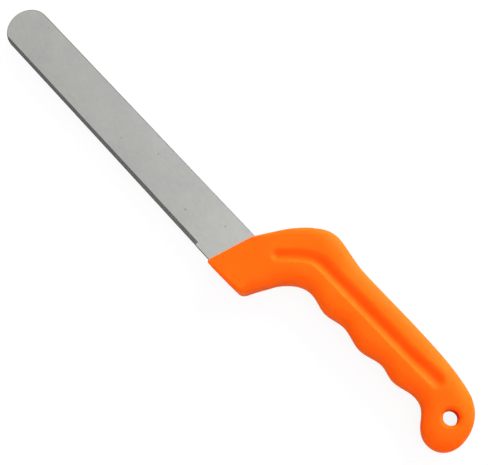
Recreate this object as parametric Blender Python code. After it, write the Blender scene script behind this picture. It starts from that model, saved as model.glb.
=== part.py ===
"""Hive tool: a sprung-steel scraper blade in a moulded handle whose grip is offset to one side.

Both pieces are drawn in the blade's own frame.  X runs from the blade's tip to the butt of the
handle, Y is 0 on the blade's centre line, and Z is 0 at mid-thickness.  One empty carries them,
so the world origin is under the middle of the tool, which lies on the ground plane.
"""

import math

import bmesh
import bpy
from mathutils import Vector
from mathutils.geometry import interpolate_bezier

MM = 0.001

# Clearance kept wherever the two pieces would touch.
GAP = 0.3 * MM

# Blade: one parallel-sided strip, with a half-round tip and a tang inside the handle.
BLADE_WIDTH = 25.0 * MM
BLADE_THICKNESS = 1.0 * MM
TIP_SEGMENTS = 28

# The grind along the -Y edge, on the upper face only, ends square short of the handle.
GRIND_WIDTH_AT_TIP = 1.8 * MM
GRIND_WIDTH_AT_HEEL = 2.1 * MM
GRIND_LENGTH = 171.0 * MM
GRIND_EDGE_LEFT = 0.2 * MM

# Tang: the shoulders are parallel to the bolster's front, the end to the arm's inner flank.
TANG_WIDTH = 19.0 * MM
SHOULDER_AT_CENTRE = 191.1 * MM
SHOULDER_HEADING = math.radians(74.2)
TANG_END_AT_CENTRE = 207.2 * MM
TANG_END_HEADING = math.radians(65)
ANCHOR_DIAMETER = 4.0 * MM
ANCHOR_SPACING = 6.5 * MM
ANCHOR_CENTRE = Vector((200.8, 0.2)) * MM
ANCHOR_SEGMENTS = 24

# Handle: the same section all along, flat on both sides with rounded edges.
HANDLE_THICKNESS = 16.0 * MM
EDGE_STEPS = 5
OUTLINE_STEP = 3.2 * MM
OUTLINE_TURN = math.radians(11)

# Outline waypoints, anticlockwise with the plastic on the left.  Each one is x and y in mm, the
# heading in degrees, and the radius in mm that rounds the edge between the wall and the sides.
BOLSTER = (
    (184.8, -13.7, 1, 1.0),
    (203.4, -13.0, 3, 2.0),
    (208.3, -8.6, 66, 4.6),
    (213.4, 1.2, 64, 5.2),
    (219.7, 9.1, 42, 5.2),
)
FINGERS = (
    (229.2, 12.9, 0, 5.0),
    (240.3, 11.0, 0, 5.0),
    (251.6, 13.1, 0, 5.0),
    (264.2, 11.0, 0, 5.0),
    (276.7, 13.7, 0, 5.0),
    (285.2, 12.2, 0, 5.0),
    (297.3, 14.6, 0, 5.0),
)
LOBE = (
    (303.3, 12.8, -38, 5.0),
    (307.0, 8.9, -52, 5.0),
    (315.9, 3.5, -2, 5.2),
    (322.9, 5.9, 41, 5.2),
    (326.5, 14.5, 90, 5.2),
    (321.5, 28.2, 131, 5.2),
    (315.6, 32.6, 154, 5.2),
    (308.6, 34.7, 168, 5.2),
)
BACK = (
    (279.0, 37.5, 178, 6.0),
    (250.0, 37.95, 179, 6.0),
    (236.0, 38.5, 173, 6.0),
    (226.0, 40.2, 169, 5.6),
    (218.6, 41.1, 180, 5.6),
)
ARM_FRONT = (
    (213.0, 39.8, 203, 4.8),
    (206.9, 35.6, 219, 4.4),
    (200.3, 28.4, 231, 3.6),
    (195.1, 20.3, 239, 3.0),
    (191.1, 13.0, 241, 1.5),
    (189.8, 10.2, 254, 1.0),
    (183.6, -12.0, 254, 1.0),
)

# Thumb groove in both sides, as x, y and heading: up the arm, then straight along the grip.
GROOVE_PATH = (
    (205.3, 13.5, 46),
    (212.2, 20.6, 44),
    (223.5, 26.8, 0),
    (299.0, 26.8, 0),
)
GROOVE_SECTION_RADIUS = 4.6 * MM
GROOVE_CENTRE_ABOVE_FACE = 2.5 * MM
GROOVE_SEGMENTS = 20
GROOVE_END_STEPS = 4

# Hang hole through the lobe, with rounded mouths.
HOLE_CENTRE = Vector((314.9, 19.6)) * MM
HOLE_RADIUS = 3.5 * MM
HOLE_MOUTH_RADIUS = 2.0 * MM
HOLE_SEGMENTS = 32
HOLE_MOUTH_STEPS = 4

# How far a cutter runs past the surface that it opens.
OVERSHOOT = 5.0 * MM


def unit(heading):
    """Plan direction of a heading in radians."""
    return Vector((math.cos(heading), math.sin(heading)))


def flat(point, z):
    """A plan point at height z."""
    return Vector((point.x, point.y, z))


def curve_between(start, end, step, turn_step):
    """Plan points from one waypoint up to, but not at, the next.

    The joining Bezier curve has handles that make it an arc wherever an arc would fit.
    """
    a = Vector(start[:2]) * MM
    b = Vector(end[:2]) * MM
    heading_a = math.radians(start[2])
    heading_b = math.radians(end[2])
    turn = (heading_b - heading_a + math.pi) % math.tau - math.pi
    chord = (b - a).length
    handle = chord / (3 * math.cos(turn / 4) ** 2)
    knots = [a, a + unit(heading_a) * handle, b - unit(heading_b) * handle, b]
    count = max(1, math.ceil(chord / step), math.ceil(abs(turn) / turn_step))
    points = interpolate_bezier(*[flat(knot, 0) for knot in knots], count + 1)
    return [point.to_2d() for point in points[:-1]]


def handle_outline():
    """The handle's plan outline as (point, edge radius) pairs."""
    waypoints = BOLSTER + FINGERS + LOBE + BACK + ARM_FRONT
    outline = []
    for i, start in enumerate(waypoints):
        end = waypoints[(i + 1) % len(waypoints)]
        points = curve_between(start, end, OUTLINE_STEP, OUTLINE_TURN)
        for j, point in enumerate(points):
            radius = start[3] + (end[3] - start[3]) * j / len(points)
            outline.append((point, radius * MM))
    return outline


def inward_normals(points):
    """Unit normals into a closed anticlockwise outline."""
    normals = []
    for i, point in enumerate(points):
        after = (points[(i + 1) % len(points)] - point).normalized()
        before = (point - points[i - 1]).normalized()
        tangent = (before + after).normalized()
        normals.append(Vector((-tangent.y, tangent.x)))
    return normals


def make_object(name, mesh_builder, parent, material=None):
    """An object from a filled bmesh, smooth where its faces meet at a shallow angle."""
    mesh = bpy.data.meshes.new(name)
    bmesh.ops.recalc_face_normals(mesh_builder, faces=mesh_builder.faces[:])
    mesh_builder.to_mesh(mesh)
    mesh_builder.free()
    mesh.shade_smooth()
    mesh.set_sharp_from_angle(angle=math.radians(35))
    piece = bpy.data.objects.new(name, mesh)
    piece.parent = parent
    bpy.context.collection.objects.link(piece)
    if material is None:
        piece.hide_render = True
        piece.display_type = 'WIRE'
    else:
        mesh.materials.append(material)
    return piece


def loft(rings):
    """A closed bmesh through a stack of rings with equal vertex counts, capped at both ends."""
    builder = bmesh.new()
    loops = [[builder.verts.new(co) for co in ring] for ring in rings]
    count = len(rings[0])
    for lower, upper in zip(loops, loops[1:]):
        for i in range(count):
            j = (i + 1) % count
            builder.faces.new((lower[i], lower[j], upper[j], upper[i]))
    builder.faces.new(reversed(loops[0]))
    builder.faces.new(loops[-1])
    return builder


def prism(points, low, high):
    """A closed bmesh that extrudes a plan outline from one height to another."""
    return loft([[flat(point, z) for point in points] for z in (low, high)])


def circle(centre, radius, segments):
    """Plan points round a circle."""
    angles = [math.tau * i / segments for i in range(segments)]
    return [centre + unit(angle) * radius for angle in angles]


def cut(piece, cutter):
    """Take one object's solid out of another's."""
    modifier = piece.modifiers.new(cutter.name, 'BOOLEAN')
    modifier.operation = 'DIFFERENCE'
    modifier.solver = 'EXACT'
    modifier.object = cutter


def steel():
    """Brushed steel."""
    return plain_material("blade_steel", (0.46, 0.47, 0.44), 0.34, 1.0)


def orange_plastic():
    """Satin orange polypropylene."""
    return plain_material("handle_plastic", (1.0, 0.165, 0.01), 0.42, 0.0)


def plain_material(name, colour, roughness, metallic):
    """A Principled material with its three main values set."""
    material = bpy.data.materials.new(name)
    material.use_nodes = True
    shader = material.node_tree.nodes["Principled BSDF"]
    shader.inputs["Base Color"].default_value = (*colour, 1.0)
    shader.inputs["Roughness"].default_value = roughness
    shader.inputs["Metallic"].default_value = metallic
    return material


def on_slanted_line(x_at_centre, heading, y):
    """The plan point at height y on a line that crosses the centre line at x_at_centre."""
    return Vector((x_at_centre + y / math.tan(heading), y))


def tang_points(clearance):
    """Plan points of the tang and shoulders, from the lower blade edge to the upper one."""
    edge = BLADE_WIDTH / 2 + clearance
    half = TANG_WIDTH / 2 + clearance
    shoulder = SHOULDER_AT_CENTRE + clearance / math.sin(SHOULDER_HEADING)
    end = TANG_END_AT_CENTRE + clearance / math.sin(TANG_END_HEADING)
    return [
        on_slanted_line(shoulder, SHOULDER_HEADING, -edge),
        on_slanted_line(shoulder, SHOULDER_HEADING, -half),
        on_slanted_line(end, TANG_END_HEADING, -half),
        on_slanted_line(end, TANG_END_HEADING, half),
        on_slanted_line(shoulder, SHOULDER_HEADING, half),
        on_slanted_line(shoulder, SHOULDER_HEADING, edge),
    ]


def blade_outline():
    """The strip with its half-round tip and its tang, anticlockwise."""
    radius = BLADE_WIDTH / 2
    centre = Vector((radius, 0))
    tip = []
    for i in range(TIP_SEGMENTS + 1):
        angle = math.radians(90) + math.pi * i / TIP_SEGMENTS
        tip.append(centre + unit(angle) * radius)
    return tip + tang_points(0.0)


def anchor_centres():
    """Centres of the anchor holes, in a row parallel to the tang's end."""
    along = unit(TANG_END_HEADING) * ANCHOR_SPACING
    return [ANCHOR_CENTRE + along * i for i in (-1, 0, 1)]


def anchor_cylinders(radius, half_height):
    """One bmesh with a cylinder at each anchor hole."""
    builder = bmesh.new()
    for centre in anchor_centres():
        cylinder = prism(circle(centre, radius, ANCHOR_SEGMENTS), -half_height, half_height)
        joined = bpy.data.meshes.new("anchor_cylinder")
        cylinder.to_mesh(joined)
        cylinder.free()
        builder.from_mesh(joined)
        bpy.data.meshes.remove(joined)
    return builder


def grind_wedge():
    """The steel that the grind takes off, as a long wedge above a slanted plane."""
    top = BLADE_THICKNESS / 2
    edge = -BLADE_WIDTH / 2
    drop = BLADE_THICKNESS - GRIND_EDGE_LEFT
    rings = []
    for x, width in ((-OVERSHOOT, GRIND_WIDTH_AT_TIP), (GRIND_LENGTH, GRIND_WIDTH_AT_HEEL)):
        slope = drop / width
        outer = edge - OVERSHOOT
        inner = edge + width
        above = OVERSHOOT * slope
        rings.append([
            Vector((x, outer, top - drop - above)),
            Vector((x, inner + OVERSHOOT, top + above)),
            Vector((x, outer, top + above)),
        ])
    return loft(rings)


def make_blade(parent):
    """The blade, with its anchor holes and its ground edge."""
    half = BLADE_THICKNESS / 2
    blade = make_object("blade", prism(blade_outline(), -half, half), parent, steel())
    holes = anchor_cylinders(ANCHOR_DIAMETER / 2, half + OVERSHOOT)
    cut(blade, make_object("cut_anchor_holes", holes, parent))
    cut(blade, make_object("cut_grind", grind_wedge(), parent))
    return blade


def handle_body():
    """The handle as a stack of outlines: rounded edge, wall, rounded edge."""
    outline = handle_outline()
    normals = inward_normals([point for point, radius in outline])
    half = HANDLE_THICKNESS / 2
    upper = []
    for step in range(EDGE_STEPS + 1):
        angle = math.radians(90) * step / EDGE_STEPS
        ring = []
        for (point, radius), normal in zip(outline, normals):
            inset = point + normal * radius * (1 - math.cos(angle))
            ring.append(flat(inset, half - radius * (1 - math.sin(angle))))
        upper.append(ring)
    lower = [[Vector((co.x, co.y, -co.z)) for co in ring] for ring in reversed(upper)]
    return loft(lower + upper)


def make_tang_pocket(parent):
    """The room that the blade takes up in the handle, less the plugs through its holes."""
    half = BLADE_THICKNESS / 2 + GAP
    edge = BLADE_WIDTH / 2 + GAP
    start = SHOULDER_AT_CENTRE - 4 * OVERSHOOT
    points = [Vector((start, -edge))] + tang_points(GAP) + [Vector((start, edge))]
    pocket = make_object("cut_tang_pocket", prism(points, -half, half), parent)
    plugs = anchor_cylinders(ANCHOR_DIAMETER / 2 - GAP, half + OVERSHOOT)
    cut(pocket, make_object("cut_plugs", plugs, parent))
    return pocket


def groove_cutter(side):
    """A round bar with round ends, laid along the groove just above one side of the handle."""
    path = []
    for start, end in zip(GROOVE_PATH, GROOVE_PATH[1:]):
        path += curve_between(start, end, 4 * OUTLINE_STEP, OUTLINE_TURN)
    path.append(Vector(GROOVE_PATH[-1][:2]) * MM)
    height = side * (HANDLE_THICKNESS / 2 + GROOVE_CENTRE_ABOVE_FACE)

    def ring(centre, along, radius):
        across = Vector((-along.y, along.x))
        points = []
        for i in range(GROOVE_SEGMENTS):
            angle = math.tau * (i + 0.5) / GROOVE_SEGMENTS
            sideways = centre + across * radius * math.cos(angle)
            points.append(flat(sideways, height + radius * math.sin(angle)))
        return points

    def round_end(centre, along, outward):
        rings = []
        for step in range(1, GROOVE_END_STEPS + 1):
            angle = math.radians(90) * step / (GROOVE_END_STEPS + 0.4)
            moved = centre + along * outward * GROOVE_SECTION_RADIUS * math.sin(angle)
            rings.append(ring(moved, along, GROOVE_SECTION_RADIUS * math.cos(angle)))
        return rings

    last = len(path) - 1
    middle = []
    for i, centre in enumerate(path):
        along = (path[min(i + 1, last)] - path[max(i - 1, 0)]).normalized()
        middle.append(ring(centre, along, GROOVE_SECTION_RADIUS))
    start = round_end(path[0], (path[1] - path[0]).normalized(), -1)
    end = round_end(path[-1], (path[-1] - path[-2]).normalized(), 1)
    return loft(start[::-1] + middle + end)


def hole_cutter():
    """A turned pin that flares at both faces, so that the hole's mouths come out rounded."""
    half = HANDLE_THICKNESS / 2
    profile = []
    for step in range(HOLE_MOUTH_STEPS + 1):
        angle = math.radians(90) * step / HOLE_MOUTH_STEPS
        radius = HOLE_RADIUS + HOLE_MOUTH_RADIUS * (1 - math.cos(angle))
        profile.append((radius, half - HOLE_MOUTH_RADIUS * (1 - math.sin(angle))))
    profile.append((HOLE_RADIUS + HOLE_MOUTH_RADIUS, half + OVERSHOOT))
    stations = [(radius, -z) for radius, z in reversed(profile)] + profile
    rings = []
    for radius, z in stations:
        ring = circle(HOLE_CENTRE, radius, HOLE_SEGMENTS)
        rings.append([flat(point, z) for point in ring])
    return loft(rings)


def make_handle(parent):
    """The handle, moulded round the tang, with its two thumb grooves and its hang hole."""
    handle = make_object("handle", handle_body(), parent, orange_plastic())
    cut(handle, make_tang_pocket(parent))
    for name, side in (("cut_groove_upper", 1), ("cut_groove_lower", -1)):
        cut(handle, make_object(name, groove_cutter(side), parent))
    cut(handle, make_object("cut_hang_hole", hole_cutter(), parent))
    return handle


def make_frame():
    """The empty that carries the tool, so that the origin is under the middle of it."""
    points = [point for point, radius in handle_outline()]
    butt = max(point.x for point in points)
    low = min(point.y for point in points)
    high = max(point.y for point in points)
    frame = bpy.data.objects.new("tool_frame", None)
    frame.location = (-butt / 2, -(low + high) / 2, HANDLE_THICKNESS / 2)
    bpy.context.collection.objects.link(frame)
    return frame


def main():
    for thing in list(bpy.data.objects):
        bpy.data.objects.remove(thing, do_unlink=True)
    frame = make_frame()
    make_blade(frame)
    make_handle(frame)


main()
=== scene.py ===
"""Looks of the hive tool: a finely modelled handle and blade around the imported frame.

The drawing frame has X from the blade's tip to the butt of the handle, Y zero on the blade's
centre line and Z zero at mid-thickness.  Everything is drawn there and then moved to where the
frame has the blade.
"""

import math

import bmesh
import bpy
import numpy as np
from mathutils import Euler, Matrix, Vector
from mathutils.geometry import delaunay_2d_cdt, interpolate_bezier


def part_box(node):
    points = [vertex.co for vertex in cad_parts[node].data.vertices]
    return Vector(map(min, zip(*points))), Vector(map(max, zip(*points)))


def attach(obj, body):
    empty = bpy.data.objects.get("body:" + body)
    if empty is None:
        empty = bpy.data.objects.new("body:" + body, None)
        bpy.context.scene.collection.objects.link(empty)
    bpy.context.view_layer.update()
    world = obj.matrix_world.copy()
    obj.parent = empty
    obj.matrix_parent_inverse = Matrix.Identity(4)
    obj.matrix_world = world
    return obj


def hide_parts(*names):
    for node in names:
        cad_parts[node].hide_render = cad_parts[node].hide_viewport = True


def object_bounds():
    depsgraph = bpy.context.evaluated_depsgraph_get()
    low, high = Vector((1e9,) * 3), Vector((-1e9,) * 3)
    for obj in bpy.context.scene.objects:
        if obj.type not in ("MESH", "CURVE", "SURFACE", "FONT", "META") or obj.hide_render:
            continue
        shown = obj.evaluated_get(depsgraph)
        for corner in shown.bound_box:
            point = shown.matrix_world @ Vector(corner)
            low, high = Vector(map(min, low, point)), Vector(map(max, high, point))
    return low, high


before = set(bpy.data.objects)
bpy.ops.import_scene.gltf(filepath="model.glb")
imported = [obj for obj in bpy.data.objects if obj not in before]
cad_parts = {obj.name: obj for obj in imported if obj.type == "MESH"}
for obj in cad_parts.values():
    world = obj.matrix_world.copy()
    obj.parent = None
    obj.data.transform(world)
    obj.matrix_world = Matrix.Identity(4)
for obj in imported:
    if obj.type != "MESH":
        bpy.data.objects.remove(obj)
CAD_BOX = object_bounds()

MM = 0.001

# Handle outline, anticlockwise with the plastic on the left.  Each waypoint is x and y in mm,
# the heading in degrees, and how far in mm the edge's rounding reaches down the wall.
BOLSTER = (
    (184.8, -13.7, 1, 1.0),
    (203.4, -13.0, 3, 2.0),
    (208.3, -8.6, 66, 4.6),
    (213.4, 1.2, 64, 5.2),
    (219.7, 9.1, 42, 5.2),
)
FINGERS = (
    (229.2, 12.9, 0, 5.0),
    (240.3, 11.0, 0, 5.0),
    (251.6, 13.1, 0, 5.0),
    (264.2, 11.0, 0, 5.0),
    (276.7, 13.7, 0, 5.0),
    (285.2, 12.2, 0, 5.0),
    (297.3, 14.6, 0, 5.0),
)
LOBE = (
    (303.3, 12.8, -38, 5.0),
    (307.0, 8.9, -52, 5.0),
    (315.9, 3.5, -2, 5.2),
    (322.9, 5.9, 41, 5.2),
    (326.5, 14.5, 90, 5.2),
    (321.5, 28.2, 131, 5.2),
    (315.6, 32.6, 154, 5.2),
    (308.6, 34.7, 168, 5.2),
)
BACK = (
    (279.0, 37.5, 178, 6.0),
    (250.0, 37.95, 179, 6.0),
    (236.0, 38.5, 173, 6.0),
    (226.0, 40.2, 169, 5.6),
    (218.6, 41.1, 180, 5.6),
)
ARM_FRONT = (
    (213.0, 39.8, 203, 4.8),
    (206.9, 35.6, 219, 4.4),
    (200.3, 28.4, 231, 3.6),
    (195.1, 20.3, 239, 3.0),
    (191.1, 13.0, 241, 1.5),
    (189.8, 10.2, 254, 1.0),
    (183.6, -12.0, 254, 1.0),
)
OUTLINE_STEP = 0.6 * MM
HANDLE_HALF = 8.0 * MM

# The rounding is an arc where it is small and a long soft shoulder where it is large.
EDGE_SOFTENING = 0.12 / MM
EDGE_POWER = 2.15
EDGE_RINGS = 11
RING_REACH = 5.0 * MM
INTERIOR_STEP = 0.9 * MM
HANDLE_SHARP_ANGLE = math.radians(42)

# Thumb groove in both sides, as x, y and heading: up the arm, then straight along the grip.
# Its bank is steep towards the fingers and long towards the back, but even at its two ends.
# The lines are loops of mesh points at these distances in mm from the centre line, with at
# least so many sides round each end.
GROOVE_PATH = (
    (205.3, 13.5, 46),
    (212.2, 20.6, 44),
    (223.5, 26.8, 0),
    (299.0, 26.8, 0),
)
GROOVE_DEPTH = 2.1 * MM
GROOVE_HALF_WIDTH = 4.3 * MM
GROOVE_START_HALF_WIDTH = 3.5 * MM
GROOVE_WIDENING = 18.0 * MM
GROOVE_FULLNESS = 2.0
GROOVE_SKEW = 0.25
GROOVE_SKEW_FADE = 14.0 * MM
GROOVE_SKEW_AT_ENDS = 0.1
GROOVE_LINES = (0.7, 1.4, 2.0, 2.6, 3.2, 3.7, 4.3, 4.9)
GROOVE_CAP_SIDES = 4

# Hang hole through the lobe, with rounded mouths.
HOLE_CENTRE = Vector((314.9, 19.6)) * MM
HOLE_RADIUS = 3.5 * MM
HOLE_MOUTH = 2.3 * MM
HOLE_STEPS = 8
HOLE_SIDES = 48

# Mesh points scattered over the side keep clear of the innermost edge ring, of the groove's
# last line and of the hole's mouth.
RING_GAP = 0.6 * INTERIOR_STEP
GROOVE_GAP = 0.45 * MM
MOUTH_GAP = 0.5 * MM

# The triangulation keeps what is inside the ring, and a triangle whose middle is nearer the
# hole's centre than this is open.
KEEP_INSIDE = 1
MERGE_DISTANCE = 1e-7
OPEN_RADIUS = 0.999 * HOLE_RADIUS

# The mould's parting line round the handle's wall.  Its rows have a height in half-widths and
# a share of the full rise.
PARTING_HALF_WIDTH = 0.15 * MM
PARTING_HEIGHT = 0.02 * MM
PARTING_ROWS = ((-3, 0), (-1, 0), (-0.5, 0.7), (0, 1), (0.5, 0.7), (1, 0), (3, 0))

# Blade, tang and the room for the tang.
BLADE_HALF_WIDTH = 12.5 * MM
BLADE_HALF = 0.5 * MM
BLADE_EDGE_RADIUS = 0.42 * MM
BLADE_EDGE_STEPS = 4
BLADE_SHARP_ANGLE = math.radians(35)
MITRE_LIMIT = 0.5
TIP_STEPS = 72
GRIND_WIDTHS = (1.9 * MM, 2.2 * MM)
GRIND_LENGTH = 171.0 * MM
GRIND_EDGE_LEFT = 0.2 * MM
TANG_HALF_WIDTH = 9.5 * MM
SHOULDER_AT_CENTRE = 191.1 * MM
SHOULDER_HEADING = math.radians(74.2)
TANG_END_AT_CENTRE = 207.2 * MM
TANG_END_HEADING = math.radians(65)
ANCHOR_CENTRE = Vector((200.8, 0.2)) * MM
ANCHOR_SPACING = 6.5 * MM
ANCHOR_RADIUS = 2.0 * MM
ANCHOR_SIDES = 32
FIT_GAP = 0.12 * MM
OVERSHOOT = 5.0 * MM
POCKET_REACH = 20.0 * MM

# The blade's flat faces are told from its rounded edges, which carry a painted darker shade
# standing in for the dark reflection there, by how far their normals point up, and the ground
# bevel also by how far its normal points out and by its area.
SIDE_LEAST_UP = 0.999
BEVEL_LEAST_UP = 0.5
BEVEL_LEAST_OUT = 0.2
BEVEL_LEAST_AREA = 10 * MM ** 2

# Colours, and the mix node's sockets for them.
ORANGES = ((0.94, 0.103, 0.0032), (0.97, 0.115, 0.0042))
SHEEN_TINT = (1.0, 0.75, 0.35, 1.0)
STEEL_GREYS = ((0.552, 0.548, 0.535), (0.591, 0.597, 0.564))
SCUFF_GREY = (0.3, 0.3, 0.29)
SPECK_GREY = (0.2, 0.2, 0.19)
# Painted shade: a darker grey laid on the blade's rounded edges in place of the dark reflection
# they show.
RIM_PAINTED_SHADE = (0.13, 0.13, 0.125)
WHITE = (1.0, 1.0, 1.0, 1.0)
FIRST_COLOUR_SOCKET = 6
SECOND_COLOUR_SOCKET = 7
MIXED_COLOUR_SOCKET = 2

# Floor: the first grey is what reflects onto the tool, the second and the glow are what the
# camera sees.
FLOOR_HALF_SIZE = 3.0
FLOOR_GAP = 0.2 * MM
FLOOR_GREY = (0.6, 0.6, 0.6)
FLOOR_GREY_SEEN = (0.09, 0.09, 0.09)
FLOOR_GLOW_SEEN = 0.9

# Softboxes: name, direction from the tool, side in metres and power in watts.
LIGHT_DISTANCE = 1.2
LIGHTS = (
    ("key", (-0.05, 0.9, 0.28), 0.95, 29.5),
    ("fill", (0.33, 0.0, 0.95), 0.8, 5.0),
    ("front", (0.12, -1.0, 0.1), 0.8, 8.5),
)

# The surround brightens from the fingers' side to the back's side, between these values of a
# direction's Y, from the first strength to the second.
SURROUND_FROM, SURROUND_TO = -0.65, 0.7
SURROUND_DARK, SURROUND_BRIGHT = 0.12, 1.3
BACKDROP_STRENGTH = 1.0

# Camera, placed in the drawing frame.
CAMERA_PLACE = Vector((314.2, -13.8, 420.6))
CAMERA_DEGREES = (14.82, 9.35, 48.26)
CAMERA_SENSOR = 36.0
CAMERA_LENS = 65.4
CAMERA_SHIFT_X = -0.0012
CAMERA_SHIFT_Y = 0.0018


def drawing_origin():
    """Where the drawing's origin lies in the frame: the blade's tip, at mid-thickness."""
    low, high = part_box("blade")
    return Vector((low.x, (low.y + high.y) / 2, (low.z + high.z) / 2))


ORIGIN = drawing_origin()


def unit(heading):
    """Plan direction of a heading in radians."""
    return Vector((math.cos(heading), math.sin(heading)))


def flat(point, z):
    """A plan point at height z."""
    return Vector((point[0], point[1], z))


def curve_between(start, end, step):
    """Plan points from one waypoint up to, but not at, the next, on an arc-like Bezier."""
    first = Vector(start[:2]) * MM
    last = Vector(end[:2]) * MM
    leaving = math.radians(start[2])
    arriving = math.radians(end[2])
    turn = (arriving - leaving + math.pi) % math.tau - math.pi
    chord = (last - first).length
    reach = chord / (3 * math.cos(turn / 4) ** 2)
    knots = [first, first + unit(leaving) * reach, last - unit(arriving) * reach, last]
    count = max(1, math.ceil(chord / step))
    points = interpolate_bezier(*[flat(knot, 0) for knot in knots], count + 1)
    return [point.to_2d() for point in points[:-1]]


def handle_outline():
    """Outline points, inward normals and edge radii as arrays."""
    waypoints = BOLSTER + FINGERS + LOBE + BACK + ARM_FRONT
    points = []
    radii = []
    for i, start in enumerate(waypoints):
        end = waypoints[(i + 1) % len(waypoints)]
        stretch = curve_between(start, end, OUTLINE_STEP)
        for j, point in enumerate(stretch):
            points.append(point)
            radii.append((start[3] + (end[3] - start[3]) * j / len(stretch)) * MM)
    points = np.array(points)
    tangents = np.roll(points, -1, 0) - np.roll(points, 1, 0)
    tangents /= np.linalg.norm(tangents, axis=1)[:, None]
    normals = np.stack([-tangents[:, 1], tangents[:, 0]], 1)
    return points, normals, np.array(radii)


def edge_reach(radius):
    """How far in from the outline the rounding of this radius begins."""
    return radius * (1 + EDGE_SOFTENING * radius)


def edge_height(inset, radius):
    """Height of the side above mid-thickness at this inset from the outline."""
    reach = edge_reach(radius)
    outward = np.clip(1 - inset / reach, 0, 1)
    drop = radius * (1 - (1 - outward ** EDGE_POWER) ** (1 / EDGE_POWER))
    return HANDLE_HALF - drop


def nearest_on_loop(points, loop, closed=True):
    """Distance from each point to a polyline, and the index of the nearest stretch."""
    starts = loop if closed else loop[:-1]
    ends = np.roll(loop, -1, 0) if closed else loop[1:]
    along = ends - starts
    best = np.full(len(points), np.inf)
    index = np.zeros(len(points), int)
    for i in range(len(starts)):
        offset = points - starts[i]
        length = along[i] @ along[i]
        t = np.clip(offset @ along[i] / length, 0, 1)
        distance = np.linalg.norm(offset - t[:, None] * along[i], axis=1)
        nearer = distance < best
        best[nearer] = distance[nearer]
        index[nearer] = i
    return best, index


def groove_line():
    """The groove's centre line as an array of plan points."""
    points = []
    for start, end in zip(GROOVE_PATH, GROOVE_PATH[1:]):
        points += curve_between(start, end, INTERIOR_STEP)
    points.append(Vector(GROOVE_PATH[-1][:2]) * MM)
    return np.array(points)


def groove_depth(points, line):
    """Depth of the thumb groove under the side at each plan point."""
    distance, nearest = nearest_on_loop(points, line, closed=False)
    along = line[1:] - line[:-1]
    along /= np.linalg.norm(along, axis=1)[:, None]
    left = np.stack([-along[:, 1], along[:, 0]], 1)[nearest]
    widened = np.clip((points[:, 0] - line[0, 0]) / GROOVE_WIDENING, 0, 1)
    wider = GROOVE_HALF_WIDTH - GROOVE_START_HALF_WIDTH
    half_width = GROOVE_START_HALF_WIDTH + wider * widened
    sideways = ((points - line[nearest]) * left).sum(1) / half_width
    out = np.clip(distance / half_width, 0, 1)
    from_ends = np.minimum(points[:, 0] - line[0, 0], line[-1, 0] - points[:, 0])
    skew = GROOVE_SKEW * np.clip(from_ends / GROOVE_SKEW_FADE, GROOVE_SKEW_AT_ENDS, 1)
    skewed = sideways + skew * (1 - out ** 2)
    across = np.clip(out ** 2 - sideways ** 2 + skewed ** 2, 0, 1)
    depth = GROOVE_DEPTH * (1 - across) ** GROOVE_FULLNESS
    return np.where(distance < half_width, depth, 0)


def mouth_depth(points):
    """How far the hang hole's mouth lies below the side at each plan point."""
    distance = np.linalg.norm(points - np.array(HOLE_CENTRE), axis=1)
    outward = np.clip(1 - (distance - HOLE_RADIUS) / HOLE_MOUTH, 0, 1)
    return HOLE_MOUTH * (1 - np.sqrt(1 - outward ** 2))


def capsule_loop(line, distance):
    """A closed loop at one distance all round an open line."""
    along = np.gradient(line, axis=0)
    along /= np.linalg.norm(along, axis=1)[:, None]
    left = np.stack([-along[:, 1], along[:, 0]], 1)
    count = max(GROOVE_CAP_SIDES, round(math.pi * distance / INTERIOR_STEP))

    def cap(centre, direction):
        heading = math.atan2(direction[1], direction[0])
        turns = [heading - math.pi / 2 + math.pi * i / count for i in range(1, count)]
        return [centre + distance * np.array(unit(turn)) for turn in turns]

    right_side = list(line - left * distance)
    left_side = list((line + left * distance)[::-1])
    return right_side + cap(line[-1], along[-1]) + left_side + cap(line[0], -along[0])


def circle_loop(centre, radius, count):
    """Plan points round a circle."""
    return [centre + unit(math.tau * i / count) * radius for i in range(count)]


def mouth_loops():
    """Loops round the hang hole, from its wall out to where its mouth begins."""
    loops = []
    for step in range(HOLE_STEPS + 1):
        angle = math.radians(90) * step / HOLE_STEPS
        radius = HOLE_RADIUS + HOLE_MOUTH * (1 - math.cos(angle))
        loops.append(circle_loop(HOLE_CENTRE, radius, HOLE_SIDES))
    return loops


def scattered_points(ring, line):
    """An even grid of plan points over the side, clear of the ring, the groove and the hole."""
    low = ring.min(0)
    high = ring.max(0)
    row_height = INTERIOR_STEP * math.sqrt(3) / 2
    grid = []
    for row in range(int((high[1] - low[1]) / row_height)):
        y = low[1] + row * row_height
        shift = (row % 2) * INTERIOR_STEP / 2
        for x in np.arange(low[0] + shift, high[0], INTERIOR_STEP):
            grid.append((x, y))
    grid = np.array(grid)
    to_groove, _ = nearest_on_loop(grid, line, closed=False)
    to_hole = np.linalg.norm(grid - np.array(HOLE_CENTRE), axis=1)
    to_ring, _ = nearest_on_loop(grid, ring)
    return grid[
        (to_ring > RING_GAP)
        & (to_groove > GROOVE_LINES[-1] * MM + GROOVE_GAP)
        & (to_hole > HOLE_RADIUS + HOLE_MOUTH + MOUTH_GAP)
    ]


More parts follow.
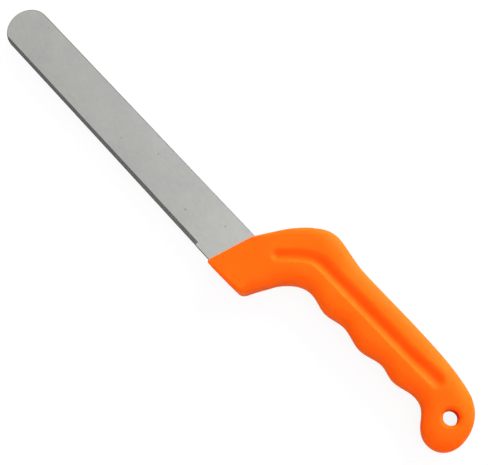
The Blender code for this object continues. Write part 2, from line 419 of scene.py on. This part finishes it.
def interior_plan(ring, line):
    """Triangulated plan inside the innermost edge ring, with lines along groove and hole.

    Returns the plan points, the triangles, the indices of the ring's own points, and those of
    the loop on the hang hole's wall.
    """
    loops = [ring]
    loops += [capsule_loop(line, distance * MM) for distance in GROOVE_LINES]
    hole_start = sum(len(loop) for loop in loops)
    loops += mouth_loops()
    fixed = np.array([tuple(point) for loop in loops for point in loop])
    scattered = scattered_points(ring, line)
    points = [Vector(point) for point in np.vstack([fixed, line, scattered])]

    edges = []
    start = 0
    for loop in loops:
        count = len(loop)
        edges += [(start + i, start + (i + 1) % count) for i in range(count)]
        start += count
    edges += [(start + i, start + i + 1) for i in range(len(line) - 1)]
    outer = [list(range(len(ring)))]
    flat_points, _, faces, origins, _, _ = delaunay_2d_cdt(
        points, edges, outer, KEEP_INSIDE, MERGE_DISTANCE)
    plan = np.array([tuple(point) for point in flat_points])
    centre = np.array(HOLE_CENTRE)
    kept = []
    for face in faces:
        middle = plan[list(face)].mean(0)
        if np.linalg.norm(middle - centre) > OPEN_RADIUS:
            kept.append(list(face))
    moved_to = {}
    for index, came_from in enumerate(origins):
        for source in came_from:
            moved_to[source] = index
    ring_indices = [moved_to[i] for i in range(len(ring))]
    hole_indices = [moved_to[hole_start + i] for i in range(HOLE_SIDES)]
    return plan, kept, ring_indices, hole_indices


def edge_rings(outline, normals, radii):
    """Rings of points over the rounding, each with its heights, from the wall inwards."""
    reach = np.minimum(edge_reach(radii), RING_REACH)
    rings = []
    for step in range(EDGE_RINGS + 1):
        angle = math.radians(90) * step / EDGE_RINGS
        inset = reach * (1 - math.cos(angle))
        rings.append((outline + normals * inset[:, None], edge_height(inset, radii)))
    return rings


def wall_rows(outline, normals, top):
    """Rows of points up the wall, with the parting line's small ridge at mid-thickness."""
    rows = [(outline, -top)]
    for height, rise in PARTING_ROWS:
        pushed = outline - normals * PARTING_HEIGHT * rise
        rows.append((pushed, np.full(len(outline), height * PARTING_HALF_WIDTH)))
    rows.append((outline, top))
    return rows


def handle_mesh():
    """The whole handle as vertices and faces: wall, edge rings, both sides and the hole."""
    outline, normals, radii = handle_outline()
    line = groove_line()
    vertices = []
    faces = []

    def add_ring(points, heights):
        start = len(vertices)
        vertices.extend(flat(point, z) for point, z in zip(points, heights))
        return list(range(start, start + len(points)))

    def bridge(lower, upper, side=1):
        if side < 0:
            lower, upper = upper, lower
        for i in range(len(lower)):
            j = (i + 1) % len(lower)
            faces.append((lower[i], lower[j], upper[j], upper[i]))

    rings = edge_rings(outline, normals, radii)
    rows = wall_rows(outline, normals, rings[0][1])
    wall = [add_ring(points, heights) for points, heights in rows]
    for lower, upper in zip(wall, wall[1:]):
        bridge(lower, upper)

    inner_points, inner_heights = rings[-1]
    plan, triangles, ring_indices, hole_indices = interior_plan(inner_points, line)
    inset, nearest = nearest_on_loop(plan, outline)
    height = edge_height(inset, radii[nearest])
    height[ring_indices] = inner_heights
    height -= groove_depth(plan, line)
    height -= mouth_depth(plan)

    mouths = []
    for side, edge in ((1, wall[-1]), (-1, wall[0])):
        previous = edge
        for points, heights in rings[1:-1]:
            ring = add_ring(points, side * heights)
            bridge(previous, ring, side)
            previous = ring
        start = len(vertices)
        vertices.extend(flat(point, side * z) for point, z in zip(plan, height))
        bridge(previous, [start + i for i in ring_indices], side)
        for triangle in triangles:
            corners = triangle if side > 0 else triangle[::-1]
            faces.append(tuple(start + i for i in corners))
        mouths.append([start + i for i in hole_indices])

    upper_mouth, lower_mouth = mouths
    previous = upper_mouth
    top = HANDLE_HALF - HOLE_MOUTH
    hole = circle_loop(HOLE_CENTRE, HOLE_RADIUS, HOLE_SIDES)
    for z in (top / 2, 0.0, -top / 2):
        ring = add_ring(hole, [z] * HOLE_SIDES)
        bridge(previous, ring)
        previous = ring
    bridge(previous, lower_mouth)
    return vertices, faces


def new_piece(name, vertices, faces):
    """A mesh object from drawing-frame vertices, placed in the frame."""
    mesh = bpy.data.meshes.new(name)
    placed = [ORIGIN + co for co in vertices]
    mesh.from_pydata(placed, [], faces)
    builder = bmesh.new()
    builder.from_mesh(mesh)
    bmesh.ops.recalc_face_normals(builder, faces=builder.faces[:])
    builder.to_mesh(mesh)
    builder.free()
    piece = bpy.data.objects.new(name, mesh)
    bpy.context.scene.collection.objects.link(piece)
    return piece


def loft(name, rings):
    """A closed object through a stack of rings with equal point counts."""
    count = len(rings[0])
    vertices = [co for ring in rings for co in ring]
    faces = [tuple(range(count))[::-1]]
    for row in range(len(rings) - 1):
        for i in range(count):
            j = (i + 1) % count
            lower = row * count
            upper = lower + count
            faces.append((lower + i, lower + j, upper + j, upper + i))
    faces.append(tuple(range((len(rings) - 1) * count, len(rings) * count)))
    return new_piece(name, vertices, faces)


def prism(name, points, low, high):
    """A closed object that extrudes a plan outline between two heights."""
    return loft(name, [[flat(point, z) for point in points] for z in (low, high)])


def carve(piece, cutters):
    """Take each cutter's solid out of the piece for good, and delete the cutters."""
    for cutter in cutters:
        modifier = piece.modifiers.new(cutter.name, 'BOOLEAN')
        modifier.operation = 'DIFFERENCE'
        modifier.solver = 'EXACT'
        modifier.object = cutter
    bpy.context.view_layer.update()
    evaluated = piece.evaluated_get(bpy.context.evaluated_depsgraph_get())
    carved = bpy.data.meshes.new_from_object(evaluated)
    piece.modifiers.clear()
    piece.data = carved
    for cutter in cutters:
        bpy.data.objects.remove(cutter, do_unlink=True)


def on_slanted_line(x_at_centre, heading, y):
    """The plan point at this y on a line that crosses the centre line at x_at_centre."""
    return Vector((x_at_centre + y / math.tan(heading), y))


def tang_points(clearance):
    """Plan points of the tang and shoulders, from the lower blade edge to the upper one."""
    edge = BLADE_HALF_WIDTH + clearance
    half = TANG_HALF_WIDTH + clearance
    shoulder = SHOULDER_AT_CENTRE + clearance / math.sin(SHOULDER_HEADING)
    end = TANG_END_AT_CENTRE + clearance / math.sin(TANG_END_HEADING)
    return [
        on_slanted_line(shoulder, SHOULDER_HEADING, -edge),
        on_slanted_line(shoulder, SHOULDER_HEADING, -half),
        on_slanted_line(end, TANG_END_HEADING, -half),
        on_slanted_line(end, TANG_END_HEADING, half),
        on_slanted_line(shoulder, SHOULDER_HEADING, half),
        on_slanted_line(shoulder, SHOULDER_HEADING, edge),
    ]


def anchor_pins(name, radius, half_height):
    """Upright pins on the tang's three anchor holes."""
    pins = []
    for i in (-1, 0, 1):
        centre = ANCHOR_CENTRE + unit(TANG_END_HEADING) * ANCHOR_SPACING * i
        outline = circle_loop(centre, radius, ANCHOR_SIDES)
        pins.append(prism(f"{name}_{i + 2}", outline, -half_height, half_height))
    return pins


def make_handle():
    """The handle moulded round the tang, open only where the blade comes out."""
    handle = new_piece("moulded_handle", *handle_mesh())
    half = BLADE_HALF + FIT_GAP
    edge = BLADE_HALF_WIDTH + FIT_GAP
    start = SHOULDER_AT_CENTRE - POCKET_REACH
    points = [Vector((start, -edge))] + tang_points(FIT_GAP) + [Vector((start, edge))]
    pocket = prism("tang_pocket", points, -half, half)
    carve(pocket, anchor_pins("plug", ANCHOR_RADIUS - FIT_GAP, half + OVERSHOOT))
    carve(handle, [pocket])
    handle.data.shade_smooth()
    handle.data.set_sharp_from_angle(angle=HANDLE_SHARP_ANGLE)
    return handle


def blade_outline():
    """The strip with its half-round tip and its tang, anticlockwise."""
    centre = Vector((BLADE_HALF_WIDTH, 0))
    tip = []
    for i in range(TIP_STEPS + 1):
        angle = math.radians(90) + math.pi * i / TIP_STEPS
        tip.append(centre + unit(angle) * BLADE_HALF_WIDTH)
    return tip + tang_points(0.0)


def grind_wedge():
    """The steel that the grind takes off, as a long wedge above a slanted plane."""
    edge = -BLADE_HALF_WIDTH
    drop = 2 * BLADE_HALF - GRIND_EDGE_LEFT
    rings = []
    for x, width in zip((-OVERSHOOT, GRIND_LENGTH), GRIND_WIDTHS):
        slope = drop / width
        above = OVERSHOOT * slope
        rings.append([
            Vector((x, edge - OVERSHOOT, BLADE_HALF - drop - above)),
            Vector((x, edge + width + OVERSHOOT, BLADE_HALF + above)),
            Vector((x, edge - OVERSHOOT, BLADE_HALF + above)),
        ])
    return loft("grind", rings)


def inward_normals(points):
    """Plan vectors into a closed outline, longer at corners so that an inset stays even."""
    after = np.roll(points, -1, 0) - points
    after /= np.linalg.norm(after, axis=1)[:, None]
    before = np.roll(after, 1, 0)
    bisector = after + before
    bisector /= np.linalg.norm(bisector, axis=1)[:, None]
    stretch = 1 / np.maximum((bisector * after).sum(1), MITRE_LIMIT)
    return np.stack([-bisector[:, 1], bisector[:, 0]], 1) * stretch[:, None]


def blade_rings(points):
    """The blade's outline at each height of its rounded edges, from the lower face up."""
    normals = inward_normals(points)
    upper = []
    for step in range(BLADE_EDGE_STEPS + 1):
        angle = math.radians(90) * step / BLADE_EDGE_STEPS
        inset = BLADE_EDGE_RADIUS * (1 - math.cos(angle))
        z = BLADE_HALF - BLADE_EDGE_RADIUS * (1 - math.sin(angle))
        upper.append([flat(point, z) for point in points + normals * inset])
    lower = [[Vector((co.x, co.y, -co.z)) for co in ring] for ring in reversed(upper)]
    return lower + upper


def is_flat(face):
    """Whether a face of the blade is one of its two sides or its ground bevel."""
    up = face.normal.z
    out = -face.normal.y
    side = abs(up) > SIDE_LEAST_UP
    bevel = up > BEVEL_LEAST_UP and out > BEVEL_LEAST_OUT and face.area > BEVEL_LEAST_AREA
    return side or bevel


def make_blade():
    """The blade, with softened edges, its ground edge and its anchor holes."""
    points = np.array([tuple(point) for point in blade_outline()])
    blade = loft("spring_steel_blade", blade_rings(points))
    anchors = anchor_pins("anchor", ANCHOR_RADIUS, BLADE_HALF + OVERSHOOT)
    carve(blade, [grind_wedge()] + anchors)
    blade.data.shade_smooth()
    blade.data.set_sharp_from_angle(angle=BLADE_SHARP_ANGLE)
    # Marks the rounded edges, which the steel paints with a darker shade standing in for their
    # dark reflection.
    rim_shade = blade.data.attributes.new("rim_shade", 'FLOAT', 'FACE')
    for face in blade.data.polygons:
        if is_flat(face):
            face.use_smooth = False
        else:
            rim_shade.data[face.index].value = 1.0
    return blade


class Shader:
    """A material's node tree, with short calls to add and join nodes."""

    def __init__(self, name):
        self.material = bpy.data.materials.new(name)
        self.material.use_nodes = True
        self.tree = self.material.node_tree
        self.principled = self.tree.nodes["Principled BSDF"]
        coordinates = self.tree.nodes.new("ShaderNodeTexCoord")
        self.place = coordinates.outputs["Object"]

    def link(self, output, node, socket):
        """Join a node's output to another node's socket."""
        self.tree.links.new(output, node.inputs[socket])

    def noise(self, scale, detail, roughness=0.5, stretch=(1, 1, 1)):
        """Noise with a scale in cycles per metre, stretched along an axis by small values."""
        mapping = self.tree.nodes.new("ShaderNodeMapping")
        mapping.inputs["Scale"].default_value = stretch
        self.link(self.place, mapping, "Vector")
        node = self.tree.nodes.new("ShaderNodeTexNoise")
        node.inputs["Scale"].default_value = scale
        node.inputs["Detail"].default_value = detail
        node.inputs["Roughness"].default_value = roughness
        self.link(mapping.outputs["Vector"], node, "Vector")
        return node.outputs["Fac"]

    def spread(self, value, low, high, to_low, to_high):
        """The value's range low to high mapped to to_low to to_high."""
        node = self.tree.nodes.new("ShaderNodeMapRange")
        for socket, number in (("From Min", low), ("From Max", high),
                               ("To Min", to_low), ("To Max", to_high)):
            node.inputs[socket].default_value = number
        self.link(value, node, "Value")
        return node.outputs["Result"]

    def mix_colours(self, factor, first, second):
        """A colour between two, each a colour or another node's output."""
        node = self.tree.nodes.new("ShaderNodeMix")
        node.data_type = 'RGBA'
        self.link(factor, node, "Factor")
        for colour, socket in ((first, FIRST_COLOUR_SOCKET), (second, SECOND_COLOUR_SOCKET)):
            if isinstance(colour, tuple):
                node.inputs[socket].default_value = (*colour, 1.0)
            else:
                self.link(colour, node, socket)
        return node.outputs[MIXED_COLOUR_SOCKET]

    def bump(self, height, distance, strength, under=None):
        """A bump of this height in metres, laid over another bump."""
        node = self.tree.nodes.new("ShaderNodeBump")
        node.inputs["Strength"].default_value = strength
        node.inputs["Distance"].default_value = distance
        self.link(height, node, "Height")
        if under is not None:
            self.link(under, node, "Normal")
        return node.outputs["Normal"]

    def set(self, **values):
        """Uniform values straight onto the shader's sockets."""
        for name, value in values.items():
            self.principled.inputs[name.replace("_", " ")].default_value = value

    def feed(self, socket, output):
        """A node's output into one of the shader's sockets."""
        self.link(output, self.principled, socket)


def plastic():
    """Bright orange moulded polypropylene: satin, with the mould's fine texture."""
    shader = Shader("orange_polypropylene")
    shader.set(Metallic=0.0, IOR=1.49, Specular_IOR_Level=0.06, Specular_Tint=SHEEN_TINT)
    shader.set(Subsurface_Weight=0.35, Subsurface_Radius=(1.0, 0.2, 0.03),
               Subsurface_Scale=4.0 * MM)
    cloud = shader.spread(shader.noise(45.0, 3.0), 0.35, 0.65, 0.0, 1.0)
    shader.feed("Base Color", shader.mix_colours(cloud, *ORANGES))
    blotches = shader.noise(160.0, 4.0, 0.6)
    shader.feed("Roughness", shader.spread(blotches, 0.3, 0.7, 0.44, 0.54))
    texture = shader.noise(2600.0, 2.0, 0.55)
    shader.feed("Normal", shader.bump(texture, 0.012 * MM, 0.8))
    return shader.material


def steel():
    """Cold-rolled spring steel: clouded grey with scuffs, specks and grain, and a painted dark
    reflection on its rounded edges.
    """
    shader = Shader("satin_spring_steel")
    shader.set(Metallic=1.0)
    cloud = shader.spread(shader.noise(55.0, 4.0, 0.6), 0.35, 0.65, 0.0, 1.0)
    colour = shader.mix_colours(cloud, *STEEL_GREYS)
    scratches = shader.noise(900.0, 3.0, 0.7, stretch=(0.35, 1, 1))
    scuffs = shader.spread(scratches, 0.3, 0.7, 0.0, 0.16)
    colour = shader.mix_colours(scuffs, colour, SCUFF_GREY)
    specks = shader.spread(shader.noise(310.0, 1.0, 0.4), 0.77, 0.81, 0.0, 0.35)
    colour = shader.mix_colours(specks, colour, SPECK_GREY)
    # Painted shade: the rounded edges are darkened in place of the dark reflection they show.
    rim_shade = shader.tree.nodes.new("ShaderNodeAttribute")
    rim_shade.attribute_name = "rim_shade"
    colour = shader.mix_colours(rim_shade.outputs["Fac"], colour, RIM_PAINTED_SHADE)
    shader.feed("Base Color", colour)
    grain = shader.noise(5200.0, 3.0, 0.6, stretch=(0.03, 1, 1))
    shader.feed("Roughness", shader.spread(grain, 0.3, 0.7, 0.3, 0.38))
    pits = shader.bump(shader.noise(2300.0, 2.0), 0.004 * MM, 0.5)
    shader.feed("Normal", shader.bump(grain, 0.004 * MM, 0.6, under=pits))
    return shader.material


def floor():
    """A plain pale floor under the tool, with a glow that only the camera sees."""
    size = FLOOR_HALF_SIZE
    z = CAD_BOX[0][2] - FLOOR_GAP
    corners = [(-size, -size, z), (size, -size, z), (size, size, z), (-size, size, z)]
    mesh = bpy.data.meshes.new("floor")
    mesh.from_pydata(corners, [], [(0, 1, 2, 3)])
    ground = bpy.data.objects.new("floor", mesh)
    bpy.context.scene.collection.objects.link(ground)
    shader = Shader("pale_floor")
    shader.set(Roughness=0.9, Specular_IOR_Level=0.0, Emission_Color=WHITE)
    seen = shader.tree.nodes.new("ShaderNodeLightPath").outputs["Is Camera Ray"]
    shader.feed("Base Color", shader.mix_colours(seen, FLOOR_GREY, FLOOR_GREY_SEEN))
    shader.feed("Emission Strength", shader.spread(seen, 0.0, 1.0, 0.0, FLOOR_GLOW_SEEN))
    mesh.materials.append(shader.material)


def soft_light(name, direction, size, power):
    """A square area light that shines at the tool's middle from a direction."""
    data = bpy.data.lights.new(name, 'AREA')
    data.shape = 'SQUARE'
    data.size = size
    data.energy = power
    light = bpy.data.objects.new(name, data)
    away = Vector(direction).normalized()
    light.location = away * LIGHT_DISTANCE
    light.rotation_euler = away.to_track_quat('Z', 'Y').to_euler()
    bpy.context.scene.collection.objects.link(light)


def surround():
    """A surround that brightens towards the back's side, and an even backdrop in the view."""
    world = bpy.data.worlds.new("studio")
    bpy.context.scene.world = world
    world.use_nodes = True
    tree = world.node_tree
    background = tree.nodes["Background"]
    coordinates = tree.nodes.new("ShaderNodeTexCoord")
    split = tree.nodes.new("ShaderNodeSeparateXYZ")
    tree.links.new(coordinates.outputs["Generated"], split.inputs["Vector"])
    slope = tree.nodes.new("ShaderNodeMapRange")
    slope.interpolation_type = 'SMOOTHSTEP'
    for socket, number in (("From Min", SURROUND_FROM), ("From Max", SURROUND_TO),
                           ("To Min", SURROUND_DARK), ("To Max", SURROUND_BRIGHT)):
        slope.inputs[socket].default_value = number
    tree.links.new(split.outputs["Y"], slope.inputs["Value"])
    rays = tree.nodes.new("ShaderNodeLightPath")
    strength = tree.nodes.new("ShaderNodeMix")
    strength.inputs["B"].default_value = BACKDROP_STRENGTH
    tree.links.new(rays.outputs["Is Camera Ray"], strength.inputs["Factor"])
    tree.links.new(slope.outputs["Result"], strength.inputs["A"])
    tree.links.new(strength.outputs["Result"], background.inputs["Strength"])
    background.inputs["Color"].default_value = WHITE


def studio():
    """Three softboxes in the surround: the key on the back's side, one above, one in front."""
    surround()
    for light in LIGHTS:
        soft_light(*light)
    bpy.context.scene.view_settings.view_transform = 'Standard'


def camera():
    """The camera, above the grip and a little towards the blade's ground edge."""
    data = bpy.data.cameras.new("camera")
    data.sensor_width = CAMERA_SENSOR
    data.lens = CAMERA_LENS
    data.shift_x = CAMERA_SHIFT_X
    data.shift_y = CAMERA_SHIFT_Y
    view = bpy.data.objects.new("camera", data)
    view.location = ORIGIN + CAMERA_PLACE * MM
    view.rotation_euler = Euler([math.radians(angle) for angle in CAMERA_DEGREES])
    bpy.context.scene.collection.objects.link(view)
    bpy.context.scene.camera = view


camera()
floor()
studio()

handle = make_handle()
handle.data.materials.append(plastic())
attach(handle, "root")
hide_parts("handle")

blade = make_blade()
blade.data.materials.append(steel())
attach(blade, "root")
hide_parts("blade")
